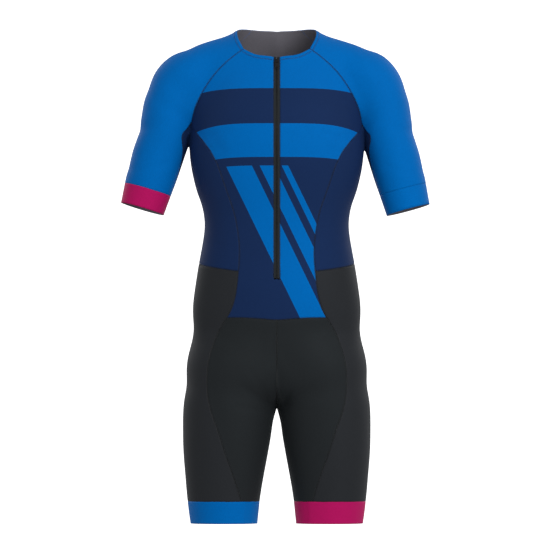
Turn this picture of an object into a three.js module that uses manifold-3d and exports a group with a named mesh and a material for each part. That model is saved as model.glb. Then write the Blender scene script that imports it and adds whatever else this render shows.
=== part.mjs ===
// A short-sleeved one-piece racing suit with a front zip, hollow as it is when worn.
//
// Millimetres. +X is the wearer's left, -Y the front and +Z up. The origin is the middle of the
// neck opening, level with the back of the neckline, where the wearer's shoulders carry the suit.
//
// The cloth follows one smooth general figure. Seam lines are laid on that figure, each cut
// panel is a grid stretched between its seams, and every panel becomes a thin closed wall.

import * as THREE from "three";
import { mergeVertices } from "three/addons/utils/BufferGeometryUtils.js";
import Module from "manifold-3d";

const wasm = await Module();
wasm.setup();

// Driving dimensions.
const CLOTH = 1.5; // thickness of the knit with its seam allowances
const SEAM_GAP = 0.3; // between two panels that are sewn together
const ZIP_WIDTH = 11; // both tapes together, edge to edge
const NECK_FRONT_Z = -50; // lowest point of the neckline
const ZIP_END_Z = -466; // bottom stop of the zip
const BODICE_END_Z = -543; // seam between the front body and the shorts, at the centre
const BACK_WAIST_Z = -436; // seam between the back body and the shorts, at the centre
const ARMPIT_ROW_Z = -215; // level of the centre line's point in the armpit's row
const CROTCH_Z = -709;
const LEG_BAND_Z = -884; // seam above the elastic leg band
const LEG_HEM_Z = -926;
const CUFF_SEAM = 0.851; // share of the upper arm's length at the cuff seam
const CUFF_HEM = 1;
const FULL_TURN = 360;
const INSIDE_DEGREES = 180; // round a leg, where 0 faces outwards and 90 forwards

// The slider of the zip, closed at the top. Clearances are to the tapes.
const SLIDER = {
  below: 9, // from the neckline to the slider's middle, along the zip
  length: 10,
  wide: 9,
  narrow: 6.6,
  plate: 1.1,
  corner: 2,
  post: 1.8,
  postLength: 2.4,
  clearOut: 0.35,
  clearIn: 0.6,
};
const ARCH = { length: 8, height: 3.4, bar: 1.1, width: 2.2, round: 1.8 };
const TAB = {
  width: 6.4,
  length: 17,
  thick: 1.2,
  bar: 1.1, // the upper bar that turns under the arch
  clear: 0.4,
  opening: 4.8, // from the hinge line to the far end of the opening
  gripHole: 2.6,
  hingeHeight: 1.15, // above the slider's plate
};
const TAB_HINGE_Z = SLIDER.clearOut + SLIDER.plate + TAB.hingeHeight;

// How many cells each run of seam is divided into.
const CELLS = {
  frontWidth: 6,
  backWidth: 6,
  sleeveAround: 10,
  sideAround: 10,
  raglan: 8,
  bodySide: 11,
  hipFront: 4,
  armUnder: 6,
  legFront: 13,
  inseam: 7,
  band: 2,
};

// Horizontal sections of the body: half width, and depth in front of and behind the side line.
const TORSO_SECTIONS = [
  { z: -720, half: 120, front: 80, back: 96 },
  { z: -660, half: 140, front: 84, back: 106 },
  { z: -620, half: 150, front: 88, back: 116 },
  { z: -570, half: 155, front: 94, back: 122 },
  { z: -520, half: 157.5, front: 99, back: 116 },
  { z: -470, half: 151.5, front: 102, back: 101 },
  { z: -430, half: 145, front: 101, back: 89 },
  { z: -395, half: 138.5, front: 100, back: 82 },
  { z: -365, half: 135.5, front: 101, back: 80 },
  { z: -335, half: 139, front: 104, back: 84 },
  { z: -300, half: 150.5, front: 110, back: 92 },
  { z: -250, half: 161.5, front: 117, back: 104 },
  { z: -200, half: 164, front: 119, back: 112 },
  { z: -150, half: 155, front: 112, back: 114 },
  { z: -110, half: 140, front: 95, back: 108 },
  { z: -80, half: 120, front: 78, back: 98 },
  { z: -50, half: 96, front: 58, back: 84 },
  { z: -20, half: 70, front: 42, back: 68 },
];
const TORSO_SQUARENESS = 2.25;
const TORSO_TOP_Z = -38;
const TORSO_BOTTOM_Z = -684;

// Horizontal sections of one leg: distance of its middle from the centre plane, and its radii.
const LEG_SECTIONS = [
  { z: -960, middle: 98.5, half: 57, front: 60, back: 56 },
  { z: -925, middle: 99.2, half: 63, front: 65, back: 61 },
  { z: -882, middle: 99.8, half: 68, front: 70, back: 67 },
  { z: -835, middle: 98, half: 74, front: 77, back: 75 },
  { z: -788, middle: 95.4, half: 80.2, front: 84, back: 84 },
  { z: -741, middle: 92, half: 84.4, front: 89, back: 92 },
  { z: -707, middle: 89.5, half: 86, front: 91, back: 98 },
  { z: -660, middle: 86, half: 82.5, front: 91, back: 104 },
  { z: -610, middle: 84, half: 75, front: 88, back: 108 },
  { z: -560, middle: 80, half: 66, front: 80, back: 100 },
];
const LEG_SQUARENESS = 2.1;
const LEG_TOP_Z = -600;

// Sections square to the upper arm: share of its length from the shoulder, and its radii.
const ARM_SECTIONS = [
  { share: 0, inner: 50, outer: 53, front: 54, back: 55 },
  { share: 0.15, inner: 51, outer: 56, front: 56, back: 57 },
  { share: 0.35, inner: 50, outer: 50.5, front: 54, back: 56 },
  { share: 0.55, inner: 48, outer: 47, front: 50, back: 52 },
  { share: 0.75, inner: 46, outer: 47.5, front: 48, back: 49 },
  { share: 1, inner: 42, outer: 42.5, front: 44, back: 45 },
  { share: 1.15, inner: 40, outer: 40, front: 42, back: 43 },
];
const SHOULDER = new THREE.Vector3(182, 8, -98);

// The two arms hang at slightly different angles.
const SIDES = [
  { name: "right", mirror: -1, cuff: new THREE.Vector3(252, -5, -334) },
  { name: "left", mirror: 1, cuff: new THREE.Vector3(246, -5, -334) },
];

// Slope of the shoulders and root of the neck.
const YOKE = {
  inner: new THREE.Vector3(34, 12, -51),
  outer: new THREE.Vector3(143, 8, -78),
  innerRadius: 58.5,
  outerRadius: 51,
};
const NECK = { half: 54, front: 52, back: 56, middleY: 6, bottomZ: -60 };

// Widths over which neighbouring forms run into each other.
const BLEND = {
  yoke: 40,
  neck: 40,
  neckFoot: 20,
  ends: 40,
  shoulder: 34,
  armpit: 4,
  hip: 50,
  groin: 12,
  crotch: 15,
};
const ARMPIT_FROM_Z = -120;
const ARMPIT_TO_Z = -200;
const ARMPIT_FRONT_Y = -30; // where the seams of front, sleeve and side meet
const ARMPIT_BACK_Y = 30;
const ARMPIT_FROM_X = 150;
const ARMPIT_TO_X = 185;
const HOLLOW_Z = -250; // a level at which the arm is clear of the body
const ARMPIT_STEP = 0.5;
const GROIN_FROM_Z = -640;
const GROIN_TO_Z = -700;

// How points are found on the figure. A ray ends beyond the figure, and short of the next limb.
const SLOPE_STEP = 0.4;
const LEAST_SLOPE = 0.05;
const MOST_MOVE = 30;
const SNAP_ROUNDS = 4;
const HALVINGS = 30;
const BODY_REACH = 260;
const ARM_REACH = 75;
const LEG_REACH = 110;
const BACK_RAY_Y = 10; // where rays to the back start, under the top of the shoulders
const TINY = 1e-9;

// A smooth curve through one column of a table of sections, as a function of another column.
function column(table, along, wanted) {
  const rows = [...table].sort((a, b) => a[along] - b[along]);
  const at = rows.map((row) => row[along]);
  const value = rows.map((row) => row[wanted]);
  const last = rows.length - 1;
  const slope = value.map((_, i) => {
    const rise = (j) => (value[j + 1] - value[j]) / (at[j + 1] - at[j]);
    if (i === 0) return rise(0);
    if (i === last) return rise(last - 1);
    const before = at[i] - at[i - 1];
    const after = at[i + 1] - at[i];
    return (rise(i - 1) * after + rise(i) * before) / (before + after);
  });
  return (where) => {
    const w = Math.min(Math.max(where, at[0]), at[last]);
    let i = 0;
    while (i < last - 1 && w > at[i + 1]) i += 1;
    const step = at[i + 1] - at[i];
    const t = (w - at[i]) / step;
    const t2 = t * t;
    const t3 = t2 * t;
    return (
      (2 * t3 - 3 * t2 + 1) * value[i] +
      (t3 - 2 * t2 + t) * step * slope[i] +
      (3 * t2 - 2 * t3) * value[i + 1] +
      (t3 - t2) * step * slope[i + 1]
    );
  };
}

const torso = {
  half: column(TORSO_SECTIONS, "z", "half"),
  front: column(TORSO_SECTIONS, "z", "front"),
  back: column(TORSO_SECTIONS, "z", "back"),
};
const leg = {
  middle: column(LEG_SECTIONS, "z", "middle"),
  half: column(LEG_SECTIONS, "z", "half"),
  front: column(LEG_SECTIONS, "z", "front"),
  back: column(LEG_SECTIONS, "z", "back"),
};
const arm = {
  inner: column(ARM_SECTIONS, "share", "inner"),
  outer: column(ARM_SECTIONS, "share", "outer"),
  front: column(ARM_SECTIONS, "share", "front"),
  back: column(ARM_SECTIONS, "share", "back"),
};

function smoothStep(from, to, value) {
  const t = Math.min(Math.max((value - from) / (to - from), 0), 1);
  return t * t * (3 - 2 * t);
}

// The union of two forms, run into each other over a width, and their common part likewise.
function join(a, b, width) {
  const h = Math.min(Math.max(0.5 + (0.5 * (b - a)) / width, 0), 1);
  return b + (a - b) * h - width * h * (1 - h);
}
function clip(a, b, width) {
  return -join(-a, -b, width);
}

// How far a point lies outside a section with these radii, measured along its own ray.
function outsideSection(u, v, half, depth, squareness) {
  const reach = Math.hypot(u, v) + TINY;
  const share =
    (Math.abs(u / half) ** squareness + Math.abs(v / depth) ** squareness) **
      (1 / squareness) +
    TINY;
  return reach * (1 - 1 / share);
}

function outsideTorso(x, y, z) {
  const depth = y < 0 ? torso.front(z) : torso.back(z);
  const form = outsideSection(x, y, torso.half(z), depth, TORSO_SQUARENESS);
  const topped = clip(form, z - TORSO_TOP_Z, BLEND.ends);
  return clip(topped, TORSO_BOTTOM_Z - z, BLEND.ends);
}

function outsideLeg(x, y, z) {
  const depth = y < 0 ? leg.front(z) : leg.back(z);
  const u = x - leg.middle(z);
  const form = outsideSection(u, y, leg.half(z), depth, LEG_SQUARENESS);
  return clip(form, z - LEG_TOP_Z, BLEND.ends);
}

function outsideYoke(p) {
  const line = new THREE.Line3(YOKE.inner, YOKE.outer);
  const share = line.closestPointToPointParameter(p, true);
  const nearest = line.at(share, new THREE.Vector3());
  return (
    nearest.distanceTo(p) -
    THREE.MathUtils.lerp(YOKE.innerRadius, YOKE.outerRadius, share)
  );
}

function outsideNeck(x, y, z) {
  const v = y - NECK.middleY;
  const depth = v < 0 ? NECK.front : NECK.back;
  const form = outsideSection(x, v, NECK.half, depth, 2);
  return clip(form, NECK.bottomZ - z, BLEND.neckFoot);
}

// The upper arm's own directions: along it, outwards and backwards.
function armFrame(side) {
  const along = side.cuff.clone().sub(SHOULDER);
  const length = along.length();
  along.divideScalar(length);
  const backwards = new THREE.Vector3(0, 1, 0);
  backwards.addScaledVector(along, -along.y).normalize();
  const outwards = new THREE.Vector3().crossVectors(along, backwards);
  if (outwards.x < 0) outwards.negate();
  return { along, length, backwards, outwards };
}

function outsideArm(p, frame) {
  const offset = p.clone().sub(SHOULDER);
  const distance = offset.dot(frame.along);
  const u = offset.dot(frame.outwards);
  const v = offset.dot(frame.backwards);
  const share = distance / frame.length;
  const inner = arm.inner(share);
  const outer = arm.outer(share);
  const side = u < 0 ? inner : outer;
  const depth = v < 0 ? arm.front(share) : arm.back(share);
  const beyond = Math.min(distance, 0) / (0.5 * (inner + outer));
  const reach = Math.hypot(u, v, Math.min(distance, 0)) + TINY;
  const q = Math.hypot(u / side, v / depth, beyond) + TINY;
  return reach * (1 - 1 / q);
}

// The figure with one side's arm on both sides. Only its half with x >= 0 is used.
function makeFigure(side) {
  const frame = armFrame(side);
  const outside = ({ x, y, z }) => {
    const near = new THREE.Vector3(Math.abs(x), y, z);
    let f = join(outsideTorso(x, y, z), outsideYoke(near), BLEND.yoke);
    f = join(f, outsideNeck(x, y, z), BLEND.neck);
    const shoulderWidth = THREE.MathUtils.lerp(
      BLEND.shoulder,
      BLEND.armpit,
      smoothStep(-ARMPIT_FROM_Z, -ARMPIT_TO_Z, -z),
    );
    f = join(f, outsideArm(near, frame), shoulderWidth);
    const legs = join(outsideLeg(x, y, z), outsideLeg(-x, y, z), BLEND.crotch);
    const hipWidth = THREE.MathUtils.lerp(
      BLEND.hip,
      BLEND.groin,
      smoothStep(-GROIN_FROM_Z, -GROIN_TO_Z, -z),
    );
    return join(f, legs, hipWidth);
  };
  const gradient = (p) => {
    const change = (axis) => {
      const ahead = p.clone();
      const behind = p.clone();
      ahead[axis] += SLOPE_STEP;
      behind[axis] -= SLOPE_STEP;
      return (outside(ahead) - outside(behind)) / (2 * SLOPE_STEP);
    };
    return new THREE.Vector3(change("x"), change("y"), change("z"));
  };
  const snap = (p, rounds = SNAP_ROUNDS) => {
    const q = p.clone();
    for (let i = 0; i < rounds; i += 1) {
      const g = gradient(q);
      const move = -outside(q) / Math.max(g.lengthSq(), LEAST_SLOPE);
      q.addScaledVector(g, THREE.MathUtils.clamp(move, -MOST_MOVE, MOST_MOVE));
    }
    return q;
  };
  // The surface point on the ray from a point inside the figure in a direction.
  const cast = (from, direction, reach = BODY_REACH) => {
    let near = 0;
    let far = reach;
    for (let i = 0; i < HALVINGS; i += 1) {
      const middle = (near + far) / 2;
      const p = from.clone().addScaledVector(direction, middle);
      if (outside(p) < 0) near = middle;
      else far = middle;
    }
    return from.clone().addScaledVector(direction, near);
  };
  // The top of the hollow between the upper arm and the body, at one depth.
  const armpitAt = (y) => {
    let best = new THREE.Vector3(0, y, -Infinity);
    for (let x = ARMPIT_FROM_X; x <= ARMPIT_TO_X; x += ARMPIT_STEP) {
      let open = HOLLOW_Z;
      let closed = ARMPIT_FROM_Z;
      for (let i = 0; i < HALVINGS; i += 1) {
        const middle = (open + closed) / 2;
        if (outside(new THREE.Vector3(x, y, middle)) > 0) open = middle;
        else closed = middle;
      }
      if (open > best.z) best = new THREE.Vector3(x, y, open);
    }
    return best;
  };
  return { frame, gradient, snap, cast, armpitAt };
}

const FORWARDS = new THREE.Vector3(0, -1, 0);
const BACKWARDS = new THREE.Vector3(0, 1, 0);

// Seam lines as seen from the front or the back: x from the centre plane, and z.
const RAGLAN_FRONT = [
  { x: 62, z: -34 },
  { x: 83, z: -49 },
  { x: 102, z: -66 },
  { x: 121, z: -87 },
  { x: 141, z: -118 },
  { x: 154, z: -148 },
];
const BODY_SEAM_FRONT = [
  { x: 133, z: -215 },
  { x: 115, z: -244 },
  { x: 95, z: -299 },
  { x: 78, z: -351 },
  { x: 70, z: -412 },
  { x: 72, z: -452 },
];
const HIP_SEAM_FRONT = [
  { x: 72, z: -452 },
  { x: 75, z: -481 },
  { x: 82, z: -515 },
  { x: 94, z: -539 },
];
const LEG_SEAM_FRONT = [
  { x: 94, z: -539 },
  { x: 112, z: -569 },
  { x: 125, z: -606 },
  { x: 131, z: -644 },
  { x: 131, z: -678 },
  { x: 124, z: -713 },
  { x: 111, z: -750 },
  { x: 97, z: -793 },
  { x: 81, z: -837 },
  { x: 66, z: LEG_BAND_Z },
];
const RAGLAN_BACK = [
  { x: 47, z: 3 },
  { x: 62, z: -12 },
  { x: 92, z: -45 },
  { x: 120, z: -85 },
  { x: 142, z: -125 },
  { x: 152, z: -152 },
];
const BODY_SEAM_BACK = [
  { x: 137, z: -210 },
  { x: 117, z: -250 },
  { x: 98, z: -300 },
  { x: 86, z: -350 },
  { x: 80, z: -400 },
  { x: 82, z: -438 },
];
const LEG_SEAM_BACK = [
  { x: 82, z: -438 },
  { x: 96, z: -490 },
  { x: 117, z: -550 },
  { x: 132, z: -610 },
  { x: 137, z: -670 },
  { x: 128, z: -730 },
  { x: 110, z: -790 },
  { x: 90, z: -840 },
  { x: 76, z: LEG_BAND_Z },
];

// Neckline from the front of the raglan seam round to its back.
const NECKLINE_FRONT = [
  { x: ZIP_WIDTH / 2, y: -62, z: NECK_FRONT_Z },
  { x: 37, y: -58, z: -46 },
  { x: 54, y: -50, z: -39 },
  { x: 62, y: -44, z: -34 },
];
const NECKLINE_SIDE = [
  { x: 62, y: -44, z: -34 },
  { x: 70, y: -25, z: -18 },
  { x: 72, y: -4, z: -6 },
  { x: 68, y: 22, z: 2 },
  { x: 60, y: 38, z: 4 },
  { x: 47, y: 52, z: 3 },
];
const NECKLINE_BACK = [
  { x: 47, y: 52, z: 3 },
  { x: 29, y: 60, z: 1 },
  { x: 0, y: 64, z: 0 },
];

// Seams of the underarm panel on the sleeve: share of the arm, and degrees round it, where
// 0 faces outwards, 90 forwards and 180 the body.
const UNDERARM_FRONT = [
  { share: 0.38, degrees: 129 },
  { share: 0.5, degrees: 150 },
  { share: 0.6, degrees: 165 },
  { share: 0.72, degrees: 180 },
  { share: CUFF_SEAM, degrees: 190 },
];
const UNDERARM_BACK = [
  { share: 0.47, degrees: 232 },
  { share: 0.6, degrees: 236 },
  { share: 0.72, degrees: 243 },
  { share: CUFF_SEAM, degrees: 250 },
];

// Seams at the centre, down the inside of the leg and across the body.
const CENTRE_BACK_Z = [-60, -130, -200, -290, -365, BACK_WAIST_Z];
const RISE_FRONT_Z = [BODICE_END_Z, -600, -650];
const RISE_BACK_Z = [BACK_WAIST_Z, -500, -560, -620, -660];
const INSEAM_Z = [-740, -760, -800, -840, LEG_BAND_Z];
const GUSSET = { frontY: -55, backY: 60, middleY: 2, rise: 11 };
const BODICE_END = [
  { x: 37, z: -540.5 },
  { x: 66, z: -539 },
];
const HIP_SEAM_SIDE = [
  { x: 108, y: -78, z: -447 },
  { x: 144, y: -40, z: -440 },
  { x: 145, y: 40, z: -434 },
  { x: 112, y: 65, z: -434 },
];
const BACK_WAIST_MIDDLE = { x: 40, z: -437 };
const ARMPIT_Y = [-15, 0, 15];
const OUTER_LEG_BULGE = { top: 30, bottom: 120 };

// Where the middle of the sleeve panel lies from the chord between its two seams, down the panel.
const SLEEVE_BULGE = [
  { share: 0, x: 14, z: 12 },
  { share: 0.25, x: 40, z: 50 },
  { share: 0.5, x: 95, z: 55 },
  { share: 0.7, x: 105, z: 30 },
  { share: 1, x: 95, z: 27 },
];

// Points at even spacing on a smooth line through some points.
const ARC_DIVISIONS = 400;
function spaced(points, cells) {
  const line = new THREE.CatmullRomCurve3(points, false, "centripetal");
  line.arcLengthDivisions = ARC_DIVISIONS;
  return line.getSpacedPoints(cells);
}

// A vertex of the cloth: its place on the outer face and the direction out of the figure.
function vertexAt(point, figure) {
  const p = figure.snap(point);
  return { p, n: figure.gradient(p).normalize() };
}

// A line of cloth vertices on the figure, between end vertices that other lines share.
function seamLine(points, cells, figure, first = null, last = null) {
  const line = spaced(points, cells).map((point) => vertexAt(point, figure));
  if (first) line[0] = first;
  if (last) line[cells] = last;
  return line;
}

// A grid of cloth vertices between four lines. Rows run from left to right, top row first.
// The inner vertices are spread evenly while they are held on the figure.
const SPREADING_ROUNDS = 40;
function stretchPanel({ top, bottom, left, right, figure, bulge }) {
  const columns = top.length - 1;
  const rows = left.length - 1;
  const grid = left.map((vertex, row) => {
    const v = row / rows;
    return top.map((_, column) => {
      if (row === 0) return top[column];
      if (row === rows) return bottom[column];
      if (column === 0) return vertex;
      if (column === columns) return right[row];
      const u = column / columns;
      const p = new THREE.Vector3()
        .addScaledVector(top[column].p, 1 - v)
        .addScaledVector(bottom[column].p, v)
        .addScaledVector(vertex.p, 1 - u)
        .addScaledVector(right[row].p, u)
        .addScaledVector(top[0].p, -(1 - u) * (1 - v))
        .addScaledVector(top[columns].p, -u * (1 - v))
        .addScaledVector(bottom[0].p, -(1 - u) * v)
        .addScaledVector(bottom[columns].p, -u * v);
      if (bulge) p.addScaledVector(bulge(v), 4 * u * (1 - u));
      return { p: figure.snap(p, 6), n: null };
    });
  });
  for (let round = 0; round < SPREADING_ROUNDS; round += 1) {
    for (let row = 1; row < rows; row += 1) {
      for (let column = 1; column < columns; column += 1) {
        const mean = new THREE.Vector3()
          .add(grid[row - 1][column].p)
          .add(grid[row + 1][column].p)
          .add(grid[row][column - 1].p)
          .add(grid[row][column + 1].p)
          .divideScalar(4);
        grid[row][column].p = figure.snap(mean, 1);
      }
    }
  }
  for (let row = 1; row < rows; row += 1) {
    for (let column = 1; column < columns; column += 1) {
      const vertex = grid[row][column];
      vertex.p = figure.snap(vertex.p, 3);
      vertex.n = figure.gradient(vertex.p).normalize();
    }
  }
  return grid;
}

// The quads of a grid. Columns run from the wearer's centre outwards, or round to the back.
function quadsOf(grid, fromRow = 0, toRow = grid.length - 1) {
  const quads = [];
  for (let row = fromRow; row < toRow; row += 1) {
    for (let column = 0; column < grid[row].length - 1; column += 1) {
      quads.push([
        grid[row][column],
        grid[row + 1][column],
        grid[row + 1][column + 1],
        grid[row][column + 1],
      ]);
    }
  }
  return quads;
}

// The same quads on the other side of the centre plane.
function mirrored(quads, mirror) {
  if (mirror === 1) return quads;
  const twins = new Map();
  const twinOf = (vertex) => {
    if (!twins.has(vertex)) {
      twins.set(vertex, {
        p: new THREE.Vector3(-vertex.p.x, vertex.p.y, vertex.p.z),
        n: new THREE.Vector3(-vertex.n.x, vertex.n.y, vertex.n.z),
      });
    }
    return twins.get(vertex);
  };
  return quads.map((quad) => quad.map(twinOf).reverse());
}

// Two corners nearer than this are one, and at a sharp corner the draw is limited.
const SAME_PLACE = 0.005;
const SHARPEST_CORNER = 0.4;

// A closed wall from the quads of one panel: outer face, inner face and cut edges.
// Each cut edge is drawn back along the cloth by half of the gap at a seam.
function wallGeometry(quads, thickness = CLOTH) {
  const vertices = [];
  const indexOf = new Map();
  const index = (vertex) => {
    const key = vertex.p
      .toArray()
      .map((value) => Math.round(value / SAME_PLACE))
      .join();
    if (!indexOf.has(key)) {
      indexOf.set(key, vertices.length);
      vertices.push({ p: vertex.p.clone(), n: vertex.n, draws: [] });
    }
    return indexOf.get(key);
  };
  const faces = [];
  for (const quad of quads) {
    const [a, b, c, d] = quad.map(index);
    const shorter =
      quad[0].p.distanceTo(quad[2].p) <= quad[1].p.distanceTo(quad[3].p);
    const split = shorter ? [[a, b, c], [a, c, d]] : [[a, b, d], [b, c, d]];
    for (const face of split) {
      if (new Set(face).size === 3) faces.push(face);
    }
  }
  const edges = new Map();
  for (const [a, b, c] of faces) {
    for (const [from, to] of [[a, b], [b, c], [c, a]]) {
      edges.set(`${from},${to}`, [from, to]);
    }
  }
  const cut = [...edges.values()].filter(
    ([from, to]) => !edges.has(`${to},${from}`),
  );
  for (const [from, to] of cut) {
    const along = vertices[to].p.clone().sub(vertices[from].p);
    const normal = vertices[from].n.clone().add(vertices[to].n);
    const inwards = new THREE.Vector3().crossVectors(normal, along).normalize();
    vertices[from].draws.push(inwards);
    vertices[to].draws.push(inwards);
  }
  for (const vertex of vertices) {
    if (vertex.draws.length < 2) continue;
    const [one, other] = vertex.draws;
    const share = Math.max(1 + one.dot(other), SHARPEST_CORNER);
    const draw = one.clone().add(other).multiplyScalar(SEAM_GAP / 2 / share);
    vertex.p.add(draw);
  }
  const count = vertices.length;
  const positions = new Float32Array(count * 6);
  vertices.forEach((vertex, i) => {
    vertex.p.toArray(positions, i * 3);
    vertex.p
      .clone()
      .addScaledVector(vertex.n, -thickness)
      .toArray(positions, (count + i) * 3);
  });
  const triangles = [];
  for (const [a, b, c] of faces) {
    triangles.push(a, b, c);
    triangles.push(count + a, count + c, count + b);
  }
  for (const [from, to] of cut) {
    triangles.push(from, count + from, count + to);
    triangles.push(from, count + to, to);
  }
  const geometry = new THREE.BufferGeometry();
  geometry.setAttribute("position", new THREE.BufferAttribute(positions, 3));
  geometry.setIndex(triangles);
  return geometry;
}

// Every grid of one side, with shared vertices where panels meet.
function layOut(side) {
  const figure = makeFigure(side);
  const { frame } = figure;
  const pinFront = ({ x, z }) =>
    figure.cast(new THREE.Vector3(x, 0, z), FORWARDS);
  const pinBack = ({ x, z }) =>
    figure.cast(new THREE.Vector3(x, BACK_RAY_Y, z), BACKWARDS);
  const place = ({ x, y, z }) => new THREE.Vector3(x, y, z);
  const onArm = ({ share, degrees }) => {
    const angle = THREE.MathUtils.degToRad(degrees);
    const from = SHOULDER.clone().addScaledVector(
      frame.along,
      share * frame.length,
    );
    const direction = new THREE.Vector3()
      .addScaledVector(frame.outwards, Math.cos(angle))
      .addScaledVector(frame.backwards, -Math.sin(angle));
    return figure.cast(from, direction, ARM_REACH);
  };
  const onLeg = (degrees, z) => {
    const angle = THREE.MathUtils.degToRad(degrees);
    const from = new THREE.Vector3(leg.middle(z), 0, z);
    const direction = new THREE.Vector3(Math.cos(angle), -Math.sin(angle), 0);
    return figure.cast(from, direction, LEG_REACH);
  };
  const line = (points, cells, first, last) =>
    seamLine(points, cells, figure, first, last);
  const endOf = (list) => list[list.length - 1];

  // Lines that run down the front, from the neck or the armpit.
  const armpitFront = vertexAt(figure.armpitAt(ARMPIT_FRONT_Y), figure);
  const raglanFront = line(
    [...RAGLAN_FRONT.map(pinFront), armpitFront.p],
    CELLS.raglan,
    null,
    armpitFront,
  );
  const bodyFront = line(
    [armpitFront.p, ...BODY_SEAM_FRONT.map(pinFront)],
    CELLS.bodySide,
    armpitFront,
  );
  const hipFront = line(
    HIP_SEAM_FRONT.map(pinFront),
    CELLS.hipFront,
    endOf(bodyFront),
  );
  const legFront = line(
    LEG_SEAM_FRONT.map(pinFront),
    CELLS.legFront,
    endOf(hipFront),
  );

  // The same lines at the back.
  const armpitBack = vertexAt(figure.armpitAt(ARMPIT_BACK_Y), figure);
  const raglanBack = line(
    [...RAGLAN_BACK.map(pinBack), armpitBack.p],
    CELLS.raglan,
    null,
    armpitBack,
  );
  const bodyBack = line(
    [armpitBack.p, ...BODY_SEAM_BACK.map(pinBack)],
    CELLS.bodySide,
    armpitBack,
  );
  const legBack = line(
    LEG_SEAM_BACK.map(pinBack),
    CELLS.hipFront + CELLS.legFront,
    endOf(bodyBack),
  );

  // Lines on the sleeve.
  const armpit = line(
    [
      armpitFront.p,
      ...ARMPIT_Y.map((y) => figure.armpitAt(y)),
      armpitBack.p,
    ],
    CELLS.sideAround,
    armpitFront,
    armpitBack,
  );
  const underFront = line(
    [armpitFront.p, ...UNDERARM_FRONT.map(onArm)],
    CELLS.armUnder,
    armpitFront,
  );
  const underBack = line(
    [armpitBack.p, ...UNDERARM_BACK.map(onArm)],
    CELLS.armUnder,
    armpitBack,
  );
  const roundArm = (share, from, to, cells) =>
    Array.from({ length: cells + 1 }, (_, i) => {
      const degrees = from + ((to - from) * i) / cells;
      return vertexAt(onArm({ share, degrees }), figure);
    });
  const frontDegrees = endOf(UNDERARM_FRONT).degrees;
  const backDegrees = endOf(UNDERARM_BACK).degrees;
  const cuffRing = (share) => ({
    outer: roundArm(
      share,
      frontDegrees,
      backDegrees - FULL_TURN,
      CELLS.sleeveAround,
    ),
    under: roundArm(share, frontDegrees, backDegrees, CELLS.sideAround),
  });
  const cuffs = [0, 1, 2].map((row) =>
    cuffRing(THREE.MathUtils.lerp(CUFF_SEAM, CUFF_HEM, row / CELLS.band)),
  );
  for (const ring of cuffs) {
    ring.under[0] = ring.outer[0];
    ring.under[CELLS.sideAround] = ring.outer[CELLS.sleeveAround];
  }
  cuffs[0].outer[0] = endOf(underFront);
  cuffs[0].under[0] = endOf(underFront);
  cuffs[0].outer[CELLS.sleeveAround] = endOf(underBack);
  cuffs[0].under[CELLS.sideAround] = endOf(underBack);

  // Neckline.
  const neckFront = line(
    NECKLINE_FRONT.map(place),
    CELLS.frontWidth,
    null,
    raglanFront[0],
  );
  const neckSide = line(
    NECKLINE_SIDE.map(place),
    CELLS.sleeveAround,
    raglanFront[0],
    raglanBack[0],
  );
  const neckBack = line(
    NECKLINE_BACK.map(place),
    CELLS.backWidth,
    raglanBack[0],
  );

  // Lines at the centre, and along the edge of the zip tape.
  const knots = [NECK_FRONT_Z, ARMPIT_ROW_Z, ZIP_END_Z, BODICE_END_Z];
  const cellsBetween = [CELLS.raglan, CELLS.bodySide, CELLS.hipFront];
  const downFront = (x) => {
    const levels = [NECK_FRONT_Z];
    cellsBetween.forEach((cells, part) => {
      for (let i = 1; i <= cells; i += 1) {
        levels.push(
          THREE.MathUtils.lerp(knots[part], knots[part + 1], i / cells),
        );
      }
    });
    return levels.map((z) => vertexAt(pinFront({ x, z }), figure));
  };
  const centreFront = downFront(0);
  const zipEdge = downFront(ZIP_WIDTH / 2);
  neckFront[0] = zipEdge[0];
  const downBack = (levels) => levels.map((z) => pinBack({ x: 0, z }));
  const gussetAt = (y, rise) => new THREE.Vector3(0, y, CROTCH_Z + rise);
  const centreBack = line(
    [endOf(neckBack).p, ...downBack(CENTRE_BACK_Z)],
    CELLS.raglan + CELLS.bodySide,
    endOf(neckBack),
  );
  const crotch = figure.snap(gussetAt(GUSSET.middleY, 0));
  const riseFront = line(
    [
      ...RISE_FRONT_Z.map((z) => pinFront({ x: 0, z })),
      gussetAt(GUSSET.frontY, GUSSET.rise),
      crotch,
    ],
    CELLS.legFront - CELLS.inseam,
    endOf(centreFront),
  );
  const riseBack = line(
    [
      ...downBack(RISE_BACK_Z),
      gussetAt(GUSSET.backY, GUSSET.rise),
      crotch,
    ],
    CELLS.hipFront + CELLS.legFront - CELLS.inseam,
    endOf(centreBack),
    endOf(riseFront),
  );
  const inseam = line(
    [crotch, ...INSEAM_Z.map((z) => onLeg(INSIDE_DEGREES, z))],
    CELLS.inseam,
    endOf(riseFront),
  );

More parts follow.
